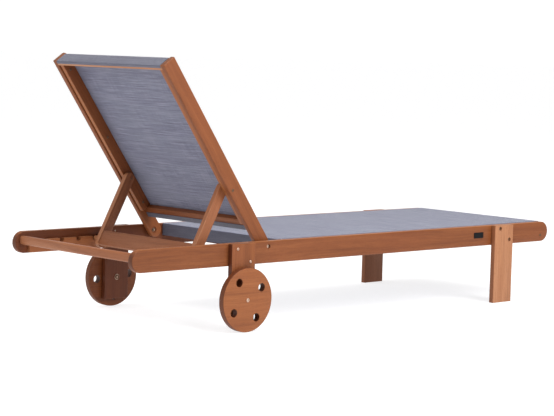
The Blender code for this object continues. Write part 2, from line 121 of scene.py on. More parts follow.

# Slings
FABRIC_THICK = 0.0012
SKIN = FABRIC_THICK / 2 + 0.00015    # from a sheet's middle surface to its CAD node's face
THREAD_PITCH = 0.0014
SEAT_HEM = 0.0040                    # the long edges turn down by this much
BACK_HEM = 0.0052
HEM_SLACK = 0.00001                  # so that rounding doesn't leave out a row at the hem's end
SEAT_FOLD = 0.0022                   # radius of the folds
BACK_FOLD = 0.0018
SEAT_STEP = 0.012                    # size of the sheet's faces
BACK_STEP = 0.010
SEAT_DROOP = 0.0030
BACK_DROOP = 0.0035
SEAT_TAUT = (0.02, 0.975)            # shares of the length between which the sheet droops
BACK_TAUT = (0.09, 0.955)
SEAT_TUCK = 0.0030                   # from the rear rail's lower edge up to the sheet's end
BACK_TOP_WRAP = 0.0085
BACK_BOTTOM_WRAP = 0.0190
BACK_HEM_BELOW = 0.0145              # from the bottom bar to the hem's start
BACK_HEM_ABOVE = 0.0075              # from the hem's end to the top bar
SEAT_WRAP_PAINTED_SHADE = 0.74                # painted shade on the slings' wraps and on the backrest sling's face
BACK_FACE_PAINTED_SHADE = 0.11
BACK_TOP_PAINTED_SHADE = 0.56
BACK_BOTTOM_PAINTED_SHADE = 0.82

# Tone of each board: 1 is the material as it is, and less is darker
# The handle bar's and prop legs' high tones are partly painted light on their upper and rear faces,
# and the battens' low tone partly painted shade on their inner faces
TONES = {
    "side_rail_left": 0.90, "side_rail_right": 0.87, "rack": 1.12, "wheel_leg": 0.92, "foot_leg": 1.0,
    "foot_cross_rail": 1.0, "seat_rear_rail": 0.45, "handle_bar": 1.22, "wheel": 1.16, "stile": 0.95,
    "batten": 0.80, "back_top_bar": 1.0, "back_bottom_bar": 0.82, "prop_leg": 1.20, "prop_board": 1.0,
}
# Factors on the tone, for faces that look one way: less than 1 is painted shade, more than 1 is
# painted light
HEADWARD = Vector((0, 1, 0))
UPWARD = Vector((0, 0, 1))
DOWNWARD = Vector((0, 0, -1))
# Painted shade on the legs' and wheels' inner faces and on the legs' head-end faces
INNER_SHADE = {"wheel_leg": 0.50, "foot_leg": 0.55, "wheel": 0.60}
REAR_SHADE = {"wheel_leg": 0.40, "foot_leg": 0.58}
# Painted shade on the wheels' rims and in their holes
WHEEL_RIM_SHADE = 0.52
WHEEL_HOLE_SHADE = 0.32
# Rails: painted shade on the head ends and inner faces, a painted highlight on the tops
RAIL_END_SHADE = 0.62
RAIL_TOP_PAINTED_HIGHLIGHT = 1.40
RAIL_INNER_SHADE = 0.62
# Painted light on the battens' rear faces and on the top bar's rear face
BATTEN_REAR_PAINTED_LIGHT = 1.55
TOP_BAR_REAR_PAINTED_LIGHT = 1.10
# Prop legs: painted shade on the inner faces, painted light on the rear faces
PROP_INNER_SHADE = 0.68
PROP_REAR_PAINTED_LIGHT = 1.12
SHADE_START = 0.35                   # how far a face has to look the shade's way
SHADE_RANGE = 0.5

# Studio: (direction, where it starts, where it is full, strength)
BACKDROP = ((0.737, -0.676, 0.0), 0.70, 0.90, 1.10)
HEAD_FILL = ((0.25, 0.90, 0.36), 0.30, 0.90, 1.10)
SURROUND = 0.22
FLOOR_SIZE = 150
FLOOR_DROP = 0.0005
FLOOR_COLOUR = (0.46, 0.46, 0.465, 1)
FLOOR_GLOW = 0.745
KEY_PLACE = (-3.6, -0.2, 2.9)
KEY_TARGET = (0, -0.2, 0.3)
KEY_SIZE = 3.0
KEY_POWER = 172
TOP_PLACE = (-0.2, 0.8, 4.2)
TOP_TARGET = (0, 0, 0)
TOP_SIZE = 3.0
TOP_POWER = 90
CAMERA_PLACE = (-4.5876, 4.3366, 0.8911)
CAMERA_TURN = (227.463, 5.144, 1.530)    # azimuth, elevation and roll, in degrees
CAMERA_LENS = 121.9
CAMERA_SHIFT = (0.01246, 0.00402)
SENSOR_WIDTH = 36
CLIP_END = 100


# ---------------------------------------------------------------- frame spaces

def joint_place(name):
    joint = next(j for j in frame["joints"] if j["name"] == name)
    return Vector(joint["pos_m"])


def space_at(place, angle):
    """A space whose origin is at the place, turned about X."""
    return Matrix.Translation(place) @ Matrix.Rotation(angle, 4, "X")


WORLD = Matrix.Identity(4)
BACK = space_at(joint_place("backrest_recline"), BACK_ANGLE)
PROP = space_at(joint_place("prop_fold"), PROP_ANGLE)


def extent(node, space=WORLD):
    """Lowest and highest corner of a CAD node, in the given space."""
    inverse = space.inverted()
    points = np.array([inverse @ v.co for v in frame["nodes"][node].data.vertices])
    return Vector(points.min(0)), Vector(points.max(0))


# ---------------------------------------------------------------- shader helpers

class Tree:
    """A short way to write a material's nodes."""

    def __init__(self, name):
        self.material = bpy.data.materials.new(name)
        self.material.use_nodes = True
        self.nodes = self.material.node_tree.nodes
        self.links = self.material.node_tree.links
        self.shader = self.nodes["Principled BSDF"]

    def link(self, source, target):
        self.links.new(source, target)

    def feed(self, socket, value):
        if hasattr(value, "is_output"):
            self.link(value, socket)
        else:
            socket.default_value = value

    def attribute(self, name, output="Vector"):
        node = self.nodes.new("ShaderNodeAttribute")
        node.attribute_name = name
        return node.outputs[output]

    def math(self, operation, first, second=0.0, third=0.0, clamp=False):
        node = self.nodes.new("ShaderNodeMath")
        node.operation = operation
        node.use_clamp = clamp
        for socket, value in zip(node.inputs, (first, second, third)):
            self.feed(socket, value)
        return node.outputs[0]

    def vector(self, operation, first, second=(0, 0, 0)):
        node = self.nodes.new("ShaderNodeVectorMath")
        node.operation = operation
        self.feed(node.inputs[0], first)
        self.feed(node.inputs[1], second)
        return node.outputs[0]

    def split(self, vector):
        node = self.nodes.new("ShaderNodeSeparateXYZ")
        self.link(vector, node.inputs[0])
        return node.outputs

    def join(self, x, y, z=0.0):
        node = self.nodes.new("ShaderNodeCombineXYZ")
        for socket, value in zip(node.inputs, (x, y, z)):
            self.feed(socket, value)
        return node.outputs[0]

    def noise(self, vector, scale=1.0, detail=3.0, roughness=0.5, distortion=0.0):
        node = self.nodes.new("ShaderNodeTexNoise")
        self.link(vector, node.inputs["Vector"])
        node.inputs["Scale"].default_value = scale
        node.inputs["Detail"].default_value = detail
        node.inputs["Roughness"].default_value = roughness
        node.inputs["Distortion"].default_value = distortion
        return node.outputs["Fac"]

    def ramp(self, value, low, high, start=0.0, end=1.0, smooth=True):
        node = self.nodes.new("ShaderNodeMapRange")
        if smooth:
            node.interpolation_type = "SMOOTHSTEP"
        for name, item in (
            ("Value", value), ("From Min", low), ("From Max", high),
            ("To Min", start), ("To Max", end),
        ):
            self.feed(node.inputs[name], item)
        return node.outputs[0]

    def colours(self, value, stops):
        node = self.nodes.new("ShaderNodeValToRGB")
        self.link(value, node.inputs[0])
        elements = node.color_ramp.elements
        while len(elements) < len(stops):
            elements.new(0.5)
        for element, (place, colour) in zip(elements, stops):
            element.position = place
            element.color = (*colour, 1)
        return node.outputs[0]

    def mix(self, factor, first, second, blend="MIX"):
        node = self.nodes.new("ShaderNodeMix")
        node.data_type = "RGBA"
        node.blend_type = blend
        self.feed(node.inputs[0], factor)
        for socket, value in ((node.inputs[6], first), (node.inputs[7], second)):
            if isinstance(value, tuple):
                value = (*value, 1)
            self.feed(socket, value)
        return node.outputs[2]

    def bump(self, height, distance, strength=1.0):
        node = self.nodes.new("ShaderNodeBump")
        self.link(height, node.inputs["Height"])
        node.inputs["Distance"].default_value = distance
        node.inputs["Strength"].default_value = strength
        self.link(node.outputs[0], self.shader.inputs["Normal"])

    def finish(self, colour, roughness, **constants):
        self.feed(self.shader.inputs["Base Color"], colour)
        self.feed(self.shader.inputs["Roughness"], roughness)
        for name, value in constants.items():
            self.shader.inputs[name.replace("_", " ")].default_value = value
        return self.material


def second_smallest(tree, vector):
    """The middle one of a vector's three parts."""
    x, y, z = tree.split(vector)
    low = tree.math("MINIMUM", x, y)
    high = tree.math("MAXIMUM", x, y)
    return tree.math("MAXIMUM", low, tree.math("MINIMUM", high, z))


def timber_material(name, dark, middle, light):
    """Oiled hardwood: broad figure, fine streaks and open pores along each board's length."""
    tree = Tree(name)
    grain = tree.attribute("grain")
    local = tree.attribute("local")
    half = tree.attribute("half")
    tone = tree.attribute("tone", "Fac")
    end = tree.attribute("endgrain", "Fac")

    wander = tree.noise(tree.vector("MULTIPLY", grain, (9, 1.6, 9)), detail=2)
    x, y, z = tree.split(grain)
    drift = tree.math("MULTIPLY", tree.math("SUBTRACT", wander, 0.5), 0.05)
    bent = tree.join(tree.math("ADD", x, drift), y, tree.math("ADD", z, drift))
    figure = tree.noise(tree.vector("MULTIPLY", bent, (42, 1.5, 42)), detail=4, roughness=0.55)
    streaks = tree.noise(tree.vector("MULTIPLY", bent, (260, 5, 260)), detail=4, roughness=0.6)
    fibres = tree.noise(tree.vector("MULTIPLY", bent, (1100, 24, 1100)), detail=2)
    pores = tree.noise(tree.vector("MULTIPLY", bent, (1500, 70, 1500)), detail=1)
    pore_mask = tree.ramp(pores, 0.60, 0.72)
    patches = tree.noise(tree.vector("MULTIPLY", grain, (7, 2.2, 7)), detail=2)

    mixed = tree.math("MULTIPLY_ADD", streaks, 0.42, tree.math("MULTIPLY", figure, 0.46))
    mixed = tree.math("MULTIPLY_ADD", fibres, 0.12, mixed)
    base = tree.colours(mixed, ((0.26, dark), (0.50, middle), (0.74, light)))
    redness = tree.mix(tree.ramp(patches, 0.35, 0.70, 0, 0.5), base, (0.235, 0.068, 0.022))
    porous = tree.mix(tree.math("MULTIPLY", pore_mask, 0.35), redness, (0.075, 0.024, 0.010))
    ends = tree.mix(tree.math("MULTIPLY", end, 0.45), porous, (0.16, 0.062, 0.028))

    edge = second_smallest(tree, tree.vector("SUBTRACT", half, tree.vector("ABSOLUTE", local)))
    rub = tree.noise(tree.vector("MULTIPLY", grain, (60, 22, 60)), detail=4, roughness=0.65)
    reach = tree.ramp(rub, 0.35, 0.75, 0.0008, 0.0034)
    worn = tree.math("MULTIPLY", tree.ramp(edge, 0.0, reach, 1, 0), 0.28)
    worn_colour = tree.mix(worn, ends, (0.42, 0.20, 0.10))
    # The tone holds each board's own tone times its painted shade and painted light
    depth = tree.join(tone, tree.math("POWER", tone, 1.35), tree.math("POWER", tone, 1.6))
    toned = tree.vector("MULTIPLY", worn_colour, depth)

    rough = tree.math("MULTIPLY_ADD", fibres, 0.16, 0.40)
    rough = tree.math("MULTIPLY_ADD", pore_mask, 0.15, rough)
    rough = tree.math("MULTIPLY_ADD", worn, 0.18, rough)
    height = tree.math("MULTIPLY_ADD", pore_mask, -0.8, tree.math("MULTIPLY", fibres, 0.5))
    tree.bump(height, 0.00022, 0.55)
    return tree.finish(toned, rough, Specular_IOR_Level=0.28)


def fabric_material(name):
    """Woven coated yarn: a fine plain weave with long slubs across the sling."""
    tree = Tree(name)
    # The cloth attribute's third part is how much painted shade darkens the sheet
    u, v, painted_shade = tree.split(tree.attribute("cloth"))
    pitch = 2 * math.pi / THREAD_PITCH
    warp = tree.math("SINE", tree.math("MULTIPLY", u, pitch))
    weft = tree.math("SINE", tree.math("MULTIPLY", v, pitch))
    over = tree.math("MULTIPLY", warp, weft)
    weave = tree.math("MULTIPLY_ADD", over, 0.5, 0.5)
    row = tree.math("FLOOR", tree.math("MULTIPLY", v, 1 / THREAD_PITCH))
    column = tree.math("FLOOR", tree.math("MULTIPLY", u, 0.5 / THREAD_PITCH))

    def streaks(across, across_scale, along, along_scale, detail):
        stretched = tree.join(
            tree.math("MULTIPLY", across, across_scale), tree.math("MULTIPLY", along, along_scale)
        )
        return tree.noise(stretched, detail=detail)

    slub = streaks(u, 13, row, 0.71, 2)
    long_slub = streaks(u, 5, v, 210, 3)
    warp_tint = streaks(column, 0.83, v, 9, 1)
    cloud = streaks(u, 4, v, 26, 3)
    blend = tree.math("MULTIPLY_ADD", slub, 0.48, tree.math("MULTIPLY", long_slub, 0.36))
    blend = tree.math("MULTIPLY_ADD", warp_tint, 0.16, blend)
    base = tree.colours(
        blend,
        ((0.35, (0.082, 0.084, 0.142)), (0.50, (0.158, 0.163, 0.240)), (0.65, (0.310, 0.312, 0.410))),
    )
    shaded = tree.mix(tree.ramp(weave, 0.0, 0.6, 0.45, 0), base, (0.05, 0.055, 0.085))
    clouded = tree.mix(tree.ramp(cloud, 0.38, 0.66, 0, 0.34), shaded, (0.205, 0.222, 0.290))
    # Painted shade: the sheet darkens toward this colour by the cloth attribute's third part
    with_painted_shade = tree.mix(painted_shade, clouded, (0.045, 0.042, 0.060))
    rough = tree.math("MULTIPLY_ADD", slub, 0.14, 0.52)
    tree.bump(tree.math("MULTIPLY_ADD", weave, 1.0, slub), 0.00030, 0.7)
    return tree.finish(
        with_painted_shade, rough, Specular_IOR_Level=0.35, Sheen_Weight=0.22, Sheen_Roughness=0.45
    )


def metal_material(name, colour, roughness, metallic=1.0, specular=0.5):
    """Dull plated metal with fine scratches and a little tarnish."""
    tree = Tree(name)
    local = tree.attribute("local")
    scratches = tree.noise(tree.vector("MULTIPLY", local, (900, 5200, 900)), detail=2)
    tarnish = tree.noise(tree.vector("MULTIPLY", local, (300, 300, 300)), detail=3)
    dull = tuple(part * 0.62 for part in colour)
    tint = tree.mix(tree.ramp(tarnish, 0.40, 0.72, 0, 0.7), colour, dull)
    rough = tree.math("MULTIPLY_ADD", scratches, 0.18, roughness)
    tree.bump(scratches, 0.00003, 0.4)
    return tree.finish(tint, rough, Metallic=metallic, Specular_IOR_Level=specular)


TIMBER = timber_material(
    "timber", (0.112, 0.030, 0.009), (0.224, 0.069, 0.020), (0.322, 0.112, 0.036)
)
PALE_TIMBER = timber_material(
    "timber_pale", (0.24, 0.092, 0.038), (0.40, 0.175, 0.082), (0.52, 0.26, 0.14)
)
# A paler, pinker copy of the timber: painted sheen on the handle bar and the prop, which face up and
# toward the head end
PAINTED_SHEEN_TIMBER = timber_material(
    "timber_painted_sheen", (0.121, 0.037, 0.016), (0.242, 0.086, 0.036), (0.348, 0.139, 0.065)
)
FABRIC = fabric_material("sling_fabric")
STEEL = metal_material("plated_steel", (0.60, 0.43, 0.33), 0.38)
DARK_STEEL = metal_material("dark_steel", (0.20, 0.125, 0.080), 0.5)
PLATE = metal_material("badge_lacquer", (0.006, 0.006, 0.007), 0.55, metallic=0.0, specular=0.15)


# ---------------------------------------------------------------- mesh helpers

def edges_along(bm, axis):
    """Edges that run along one of the axes."""
    found = []
    for edge in bm.edges:
        line = edge.verts[1].co - edge.verts[0].co
        if line.length > 1e-7 and abs(line.normalized()[axis]) > 0.999:
            found.append(edge)
    return found


def set_attribute(mesh, name, kind, domain, values):
    attribute = mesh.attributes.new(name, kind, domain)
    key = "vector" if kind == "FLOAT_VECTOR" else "value"
    attribute.data.foreach_set(key, np.asarray(values, np.float32).ravel())


def dress(mesh, middle, half, grain_axis, tone, shades=()):
    """Give a board the attributes that its material reads.

    shades holds (direction, factor): the tone is times the factor on faces that look that way, which
    paints shade where the factor is below 1 and light where it is above.
    """
    count = len(mesh.vertices)
    points = np.empty(count * 3, np.float32)
    mesh.vertices.foreach_get("co", points)
    local = points.reshape(-1, 3) - np.array(middle)
    order = {0: (1, 0, 2), 1: (0, 1, 2), 2: (0, 2, 1)}[grain_axis]
    offset = np.array([RNG.uniform(-9, 9) for _ in range(3)])
    set_attribute(mesh, "local", "FLOAT_VECTOR", "POINT", local)
    set_attribute(mesh, "half", "FLOAT_VECTOR", "POINT", np.tile(np.array(half), (count, 1)))
    set_attribute(mesh, "grain", "FLOAT_VECTOR", "POINT", local[:, order] + offset)
    tones = np.full(len(mesh.polygons), tone)
    for direction, factor in shades:
        for number, face in enumerate(mesh.polygons):
            facing = min(1.0, max(0.0, (face.normal.dot(direction) - SHADE_START) / SHADE_RANGE))
            tones[number] *= 1 + (factor - 1) * facing
    set_attribute(mesh, "tone", "FLOAT", "FACE", tones)
    ends = [abs(face.normal[grain_axis]) > END_FACING for face in mesh.polygons]
    set_attribute(mesh, "endgrain", "FLOAT", "FACE", ends)


def cylinder(radius, start, end, segments=40):
    """A cylinder along X from start to end, as a bmesh."""
    bm = bmesh.new()
    bmesh.ops.create_cone(
        bm, cap_ends=True, segments=segments, radius1=radius, radius2=radius, depth=abs(end - start)
    )
    bmesh.ops.rotate(bm, cent=(0, 0, 0), matrix=Matrix.Rotation(math.pi / 2, 3, "Y"), verts=bm.verts)
    bmesh.ops.translate(bm, vec=((start + end) / 2, 0, 0), verts=bm.verts)
    return bm


def object_from(bm, name):
    name += "_look"
    mesh = bpy.data.meshes.new(name)
    bm.to_mesh(mesh)
    bm.free()
    obj = bpy.data.objects.new(name, mesh)
    bpy.context.scene.collection.objects.link(obj)
    return obj


def cut(obj, cutters):
    """Cut the bmeshes out of the object."""
    for bm in cutters:
        cutter = object_from(bm, "cutter")
        boolean = obj.modifiers.new("cut", "BOOLEAN")
        boolean.object = cutter
        boolean.operation = "DIFFERENCE"
        boolean.solver = "EXACT"
        apply_modifiers(obj)
        bpy.data.objects.remove(cutter)


def apply_modifiers(obj):
    graph = bpy.context.evaluated_depsgraph_get()
    mesh = bpy.data.meshes.new_from_object(obj.evaluated_get(graph), depsgraph=graph)
    obj.modifiers.clear()
    old = obj.data
    obj.data = mesh
    bpy.data.meshes.remove(old)


def place(obj, space, material, slot, body, replaced):
    obj.data.transform(space)
    obj.data.materials.clear()
    obj.data.materials.append(material)
    obj.data.shade_smooth()
    obj.data.set_sharp_from_angle(angle=SMOOTH_ANGLE)
    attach(obj, body)
    if replaced:
        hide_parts(*replaced)
    return obj


def tube_cutter(radius, y, z, start, end, segments=40):
    bm = cylinder(radius, start, end, segments)
    bmesh.ops.translate(bm, vec=(0, y, z), verts=bm.verts)
    return bm


def board_mesh(name, low, high, edge=EDGE, corner=0.0, corner_at=None, corner_segments=14):
    """A board with softened edges, and round corners about X where corner_at says so."""
    middle = (low + high) / 2
    bm = bmesh.new()
    bmesh.ops.create_cube(bm, size=1.0)
    bmesh.ops.scale(bm, vec=high - low, verts=bm.verts)
    if corner:
        chosen = [e for e in edges_along(bm, 0) if corner_at(e.verts[0].co.y, e.verts[0].co.z)]
        bmesh.ops.bevel(
            bm, geom=chosen, offset=corner, segments=corner_segments, profile=0.5, affect="EDGES"
        )
    sharp = [e for e in bm.edges if len(e.link_faces) == 2 and e.calc_face_angle() > SHARP_ANGLE]
    bmesh.ops.bevel(
        bm, geom=sharp, offset=edge, segments=3, profile=0.55, affect="EDGES", clamp_overlap=True
    )
    bmesh.ops.translate(bm, vec=middle, verts=bm.verts)
    return object_from(bm, name)


def board(
    name, body, space=WORLD, node=None, axis=1, tone=1.0, material=TIMBER, slot="timber",
    bores=(), extra=(), shades=(), **shape
):
    """Rebuild a CAD board in its own space, with bores along X at each (y, z, radius, start, end)."""
    node = node or name
    low, high = extent(node, space)
    obj = board_mesh(name, low, high, **shape)
    cut(obj, [tube_cutter(r, y, z, start, end) for y, z, r, start, end in bores])
    cut(obj, extra)
    dress(obj.data, (low + high) / 2, (high - low) / 2, axis, tone, shades)
    return place(obj, space, material, slot, body, [node])


def turned(
    name, profile, y, z, side, space, body, material=STEEL, slot="steel",
    replaced=(), segments=36, hexes=(), shade_within=0.0
):
    """A piece turned about X from (distance along X, radius).

    hexes numbers its six-sided rings, and faces within the reach given last are dark steel, as
    painted shade in a nut's middle.
    """
    bm = bmesh.new()
    rings = []
    for index, (x, radius) in enumerate(profile):
        ring = []
        count = 1 if radius == 0 else segments
        for step in range(count):
            angle = 2 * math.pi * step / segments
            reach = radius
            if index in hexes:
                reach *= math.cos(math.pi / 6) / math.cos(angle % (math.pi / 3) - math.pi / 6)
            around = (y + reach * math.cos(angle), z + reach * math.sin(angle))
            ring.append(bm.verts.new((side * x, *around)))
        rings.append(ring)
    for first, second in zip(rings, rings[1:]):
        for step in range(segments):
            after = (step + 1) % segments
            corners = [first[step % len(first)], first[after % len(first)],
                       second[after % len(second)], second[step % len(second)]]
            bm.faces.new(list(dict.fromkeys(corners)))
    bmesh.ops.remove_doubles(bm, verts=bm.verts, dist=1e-7)
    bmesh.ops.recalc_face_normals(bm, faces=bm.faces)
    obj = object_from(bm, name)
    points = np.array([v.co for v in obj.data.vertices]) - np.array((0, y, z))
    set_attribute(obj.data, "local", "FLOAT_VECTOR", "POINT", points)
    reaches = [math.hypot(f.center.y - y, f.center.z - z) for f in obj.data.polygons]
    obj = place(obj, space, material, slot, body, replaced)
    obj.data.set_sharp_from_angle(angle=METAL_SMOOTH_ANGLE)
    if shade_within:
        obj.data.materials.append(DARK_STEEL)
        for face, reach in zip(obj.data.polygons, reaches):
            face.material_index = int(reach < shade_within)
    return obj


def button_head(face, tip, shank, head, height):
    """A domed head with a hexagon socket on the face, and its shank inward to the tip."""
    base = face + GAP
    socket = head * 0.46
    return [
        (base + height * 0.35, 0),
        (base + height * 0.35, socket),
        (base + height * 0.98, socket * 1.04),
        (base + height, socket * 1.18),
        (base + height * 0.90, head * 0.72),
        (base + height * 0.62, head * 0.92),
        (base + height * 0.25, head),
        (base, head * 0.985),
        (base, shank),
        (tip, shank),
        (tip, 0),
    ], (1, 2)


def lock_nut(face, bore, radius, height):
    """A six-sided nut with a round collar and a thin washer, standing inward of the face."""
    top = face - GAP
    return [
        (top, bore),
        (top, radius * NUT_WASHER),
        (top - NUT_WASHER_THICK, radius * NUT_WASHER),
        (top - NUT_WASHER_THICK, radius),
        (top - height * 0.66, radius),
        (top - height * 0.74, radius * 0.90),
        (top - height * 0.76, radius * 0.78),
        (top - height * 0.95, radius * 0.74),
        (top - height, radius * 0.66),
        (top - height, bore),
        (top, bore),
    ], (3, 4)


# ---------------------------------------------------------------- standing frame

def centre(node, space=WORLD):
    low, high = extent(node, space)
    middle = (low + high) / 2
    return middle.y, middle.z


def head_radius(node, space=WORLD):
    low, high = extent(node, space)
    return (high.y - low.y) / 2


def bolt(node, body, space, side, face, shank, height, material=STEEL):
    """A button-head bolt in place of the CAD one: same axis, head size and tip."""
    low, high = extent(node, space)
    tip = min(abs(low.x), abs(high.x))
    y, z = centre(node, space)
    profile, hexes = button_head(face, tip, shank, head_radius(node, space), height)
    turned(node, profile, y, z, side, space, body, material, replaced=[node], hexes=hexes)


def side_span(side, inner, outer):
    """The span along X from inner to outer on one side of the frame, lowest first."""
    return sorted((side * inner, side * outer))


def rail_bores(side_name, nodes, low, high, radius=BORE_RADIUS):
    bores = []
    for node in nodes:
        y, z = centre(f"{node}_{side_name}")
        bores.append((y, z, radius, low, high))
    return bores


def build_frame(side_name, side):
    inward = Vector((-side, 0, 0))
    rail_low, rail_high = extent(f"side_rail_{side_name}")
    ends = side_span(side, *RAIL_SPAN)
    bolts = ["foot_rail_bolt", "back_pivot_bolt"]
    bolts += [f"{leg}_bolt_{row}" for leg in ("wheel_leg", "foot_leg") for row in ("upper", "lower")]
    pivot_y, pivot_z = centre(f"back_pivot_bolt_{side_name}")
    rail_face = abs((rail_high if side > 0 else rail_low).x)
    recess_span = side_span(side, rail_face - RECESS_DEPTH, RAIL_SPAN[1])
    recess = (pivot_y, pivot_z, RECESS_RADIUS, *recess_span)
    board(
        f"side_rail_{side_name}", "frame", tone=TONES[f"side_rail_{side_name}"],
        bores=[recess] + rail_bores(side_name, bolts, *ends),
        edge=RAIL_EDGE,
        corner=(rail_high.z - rail_low.z) * RAIL_ROUND,
        corner_at=lambda y, z: True,
        corner_segments=20,
        # painted shade on the head end and inner face, a painted highlight on the top
        shades=[
            (HEADWARD, RAIL_END_SHADE), (UPWARD, RAIL_TOP_PAINTED_HIGHLIGHT), (inward, RAIL_INNER_SHADE),
        ],
    )
    for leg in ("wheel_leg", "foot_leg"):
        leg_bolts = [f"{leg}_bolt_upper", f"{leg}_bolt_lower"]
        low, high = extent(f"{leg}_{side_name}")
        leg_face = abs((high if side > 0 else low).x)
        bores = []
        if leg == "foot_leg":
            span = side_span(side, leg_face - RECESS_DEPTH, RAIL_SPAN[1])
            bores += rail_bores(side_name, leg_bolts, *span, radius=RECESS_RADIUS)
        else:
            bores += rail_bores(side_name, ["axle_bolt"], *ends, radius=AXLE_BORE_RADIUS)
        bores += rail_bores(side_name, leg_bolts, *ends)
        material = PALE_TIMBER if leg == "foot_leg" else TIMBER
        # painted shade on the leg's inner and head-end faces
        shades = [(inward, INNER_SHADE[leg]), (HEADWARD, REAR_SHADE[leg])]
        board(
            f"{leg}_{side_name}", "frame", axis=2, tone=TONES[leg], bores=bores, material=material,
            shades=shades,
        )

    rack_low, rack_high = extent(f"rack_{side_name}")
    notches = []
    for number in NOTCH_NUMBERS:
        low = Vector((
            rack_low.x - PAST, REST_NOTCH + number * NOTCH_STEP - NOTCH_WIDTH / 2,
            rack_high.z - NOTCH_DEPTH,
        ))
        high = Vector((rack_high.x + PAST, low.y + NOTCH_WIDTH, rack_high.z + 2 * PAST))
        bm = bmesh.new()
        bmesh.ops.create_cube(bm, size=1.0)
        bmesh.ops.scale(bm, vec=high - low, verts=bm.verts)
        lower = [e for e in edges_along(bm, 0) if e.verts[0].co.z < 0]
        bmesh.ops.bevel(
            bm, geom=lower, offset=NOTCH_WIDTH * NOTCH_ROUND, segments=8, profile=0.5, affect="EDGES"
        )
        bmesh.ops.translate(bm, vec=(low + high) / 2, verts=bm.verts)
        notches.append(bm)
    board(f"rack_{side_name}", "frame", tone=TONES["rack"], edge=FINE_EDGE, extra=notches)

    for row in ("upper", "lower"):
        bolt(
            f"wheel_leg_bolt_{row}_{side_name}", "frame", WORLD, side, leg_face,
            BOLT_SHANK, HEAD_HEIGHT,
        )
        bolt(
            f"foot_leg_bolt_{row}_{side_name}", "frame", WORLD, side, leg_face - RECESS_DEPTH,
            BOLT_SHANK, HEAD_HEIGHT, DARK_STEEL,
        )
    bolt(
        f"foot_rail_bolt_{side_name}", "frame", WORLD, side, rail_face,
        BOLT_SHANK, LOW_HEAD_HEIGHT, DARK_STEEL,
    )
    bolt(
        f"back_pivot_bolt_{side_name}", "frame", WORLD, side, rail_face - RECESS_DEPTH,
        BOLT_SHANK, HEAD_HEIGHT,
    )
    wheel_low, wheel_high = extent(f"wheel_{side_name}")
    wheel_face = abs((wheel_high if side > 0 else wheel_low).x)
    bolt(f"axle_bolt_{side_name}", "frame", WORLD, side, wheel_face, AXLE_SHANK, HEAD_HEIGHT)

    for kind, bore in (("back_pivot_nut", BORE_RADIUS), ("axle_nut", AXLE_BORE_RADIUS)):
        build_nut(f"{kind}_{side_name}", side, bore)
    for kind, bore in (("back_pivot_spacer", BORE_RADIUS), ("axle_washer", AXLE_BORE_RADIUS)):
        build_washer(f"{kind}_{side_name}", side, bore)


def build_nut(node, side, bore):
    low, high = extent(node)
    face = max(abs(low.x), abs(high.x)) + GAP
    radius = (high.y - low.y) / 2 / NUT_WASHER
    y, z = centre(node)
    profile, hexes = lock_nut(face, bore, radius, high.x - low.x)
    # The nut's middle is dark steel: painted shade in its bore
    turned(
        node, profile, y, z, side, WORLD, "frame",
        replaced=[node], hexes=hexes, shade_within=radius * NUT_CORE,
    )


def build_washer(node, side, bore):
    low, high = extent(node)
    inner, outer = sorted((abs(low.x), abs(high.x)))
    radius = (high.y - low.y) / 2
    soft = min(0.0004, (outer - inner) / 4)
    y, z = centre(node)
    profile = [
        (outer, bore), (outer, radius - soft), (outer - soft, radius),
        (inner + soft, radius), (inner, radius - soft), (inner, bore), (outer, bore),
    ]
    turned(node, profile, y, z, side, WORLD, "frame", replaced=[node])


def build_cross_pieces():
    rail_end = extent("foot_cross_rail")[1].x
    y, z = centre("foot_rail_bolt_left")
    sockets = [
        (y, z, BORE_RADIUS, side * (rail_end - SOCKET_DEPTH), side * (rail_end + PAST))
        for side in (1, -1)
    ]
    board("foot_cross_rail", "frame", axis=0, tone=TONES["foot_cross_rail"], bores=sockets)
    board("seat_rear_rail", "frame", axis=0, tone=TONES["seat_rear_rail"])
    board(
        "handle_bar", "frame", axis=0, tone=TONES["handle_bar"], material=PAINTED_SHEEN_TIMBER, edge=FINE_EDGE,
        corner=HANDLE_CORNER, corner_at=lambda y, z: True, corner_segments=8,
    )
    low, high = extent("badge_plate")
    obj = board_mesh(
        "badge_plate", low, high, edge=THIN_EDGE,
        corner=PLATE_CORNER, corner_at=lambda y, z: True, corner_segments=6,
    )
    dress(obj.data, (low + high) / 2, (high - low) / 2, 1, 0)
    place(obj, WORLD, PLATE, "plate", "frame", ["badge_plate"])


def build_wheel(side_name, side):
    """A timber disc with a ring of four round holes, softened at the rim."""
    low, high = extent(f"wheel_{side_name}")
    middle = (low + high) / 2
    radius = (high.y - low.y) / 2
    bm = cylinder(radius, low.x, high.x, 128)
    rims = [e for e in bm.edges if len(e.link_faces) == 2 and e.calc_face_angle() > SHARP_ANGLE]
    bmesh.ops.bevel(bm, geom=rims, offset=WHEEL_EDGE, segments=4, profile=0.55, affect="EDGES")
    bmesh.ops.translate(bm, vec=(0, middle.y, middle.z), verts=bm.verts)
    obj = object_from(bm, f"wheel_{side_name}")
    start, end = low.x - PAST, high.x + PAST
    cutters = [tube_cutter(AXLE_BORE_RADIUS, middle.y, middle.z, start, end)]
    for number in range(4):
        angle = math.radians(WHEEL_TURN[side_name] + 90 * number)
        y = middle.y + WHEEL_HOLE_CIRCLE * math.cos(angle)
        z = middle.z + WHEEL_HOLE_CIRCLE * math.sin(angle)
        cutters.append(tube_cutter(WHEEL_HOLE_RADIUS, y, z, start, end, 48))
    cut(obj, cutters)
    # painted shade on the wheel's inner face
    shades = [(Vector((-side, 0, 0)), INNER_SHADE["wheel"])]
    dress(obj.data, middle, Vector((high.x - low.x, 1, 1)) / 2, 1, TONES["wheel"], shades)
    shade_wheel(obj.data, middle, radius)
    place(obj, WORLD, TIMBER, "timber", f"wheel_{side_name}", [f"wheel_{side_name}"])


